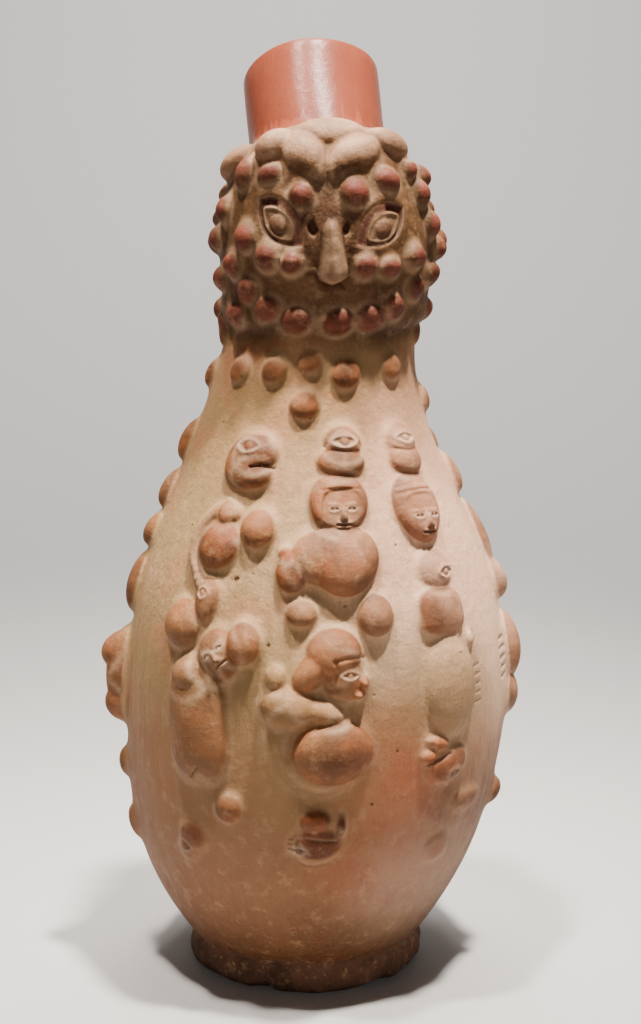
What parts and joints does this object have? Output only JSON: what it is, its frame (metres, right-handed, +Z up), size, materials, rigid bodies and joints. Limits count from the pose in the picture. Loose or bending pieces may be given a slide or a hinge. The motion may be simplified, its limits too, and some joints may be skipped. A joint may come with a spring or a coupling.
{
  "type": "pottery jar",
  "caption": "Hollow fired-clay jar with an egg-shaped body, a narrow neck, an owl's head and a leaning open spout, covered in rounded bumps and small relief figures.",
  "frame": {"origin": "centre of the flat underside of the foot, on the ground", "axes": "+Z up along the jar, -Y is the front that the owl looks along, +X is the viewer's right from the front"},
  "size_m": [0.1569, 0.1551, 0.3419],
  "materials": {
    "vessel": "fired clay with a cream slip worn to orange-brown on the raised relief, burnished red spout, rough brown foot"
  },
  "bodies": {
    "root": {"vessel": "vessel"}
  },
  "joints": []
}
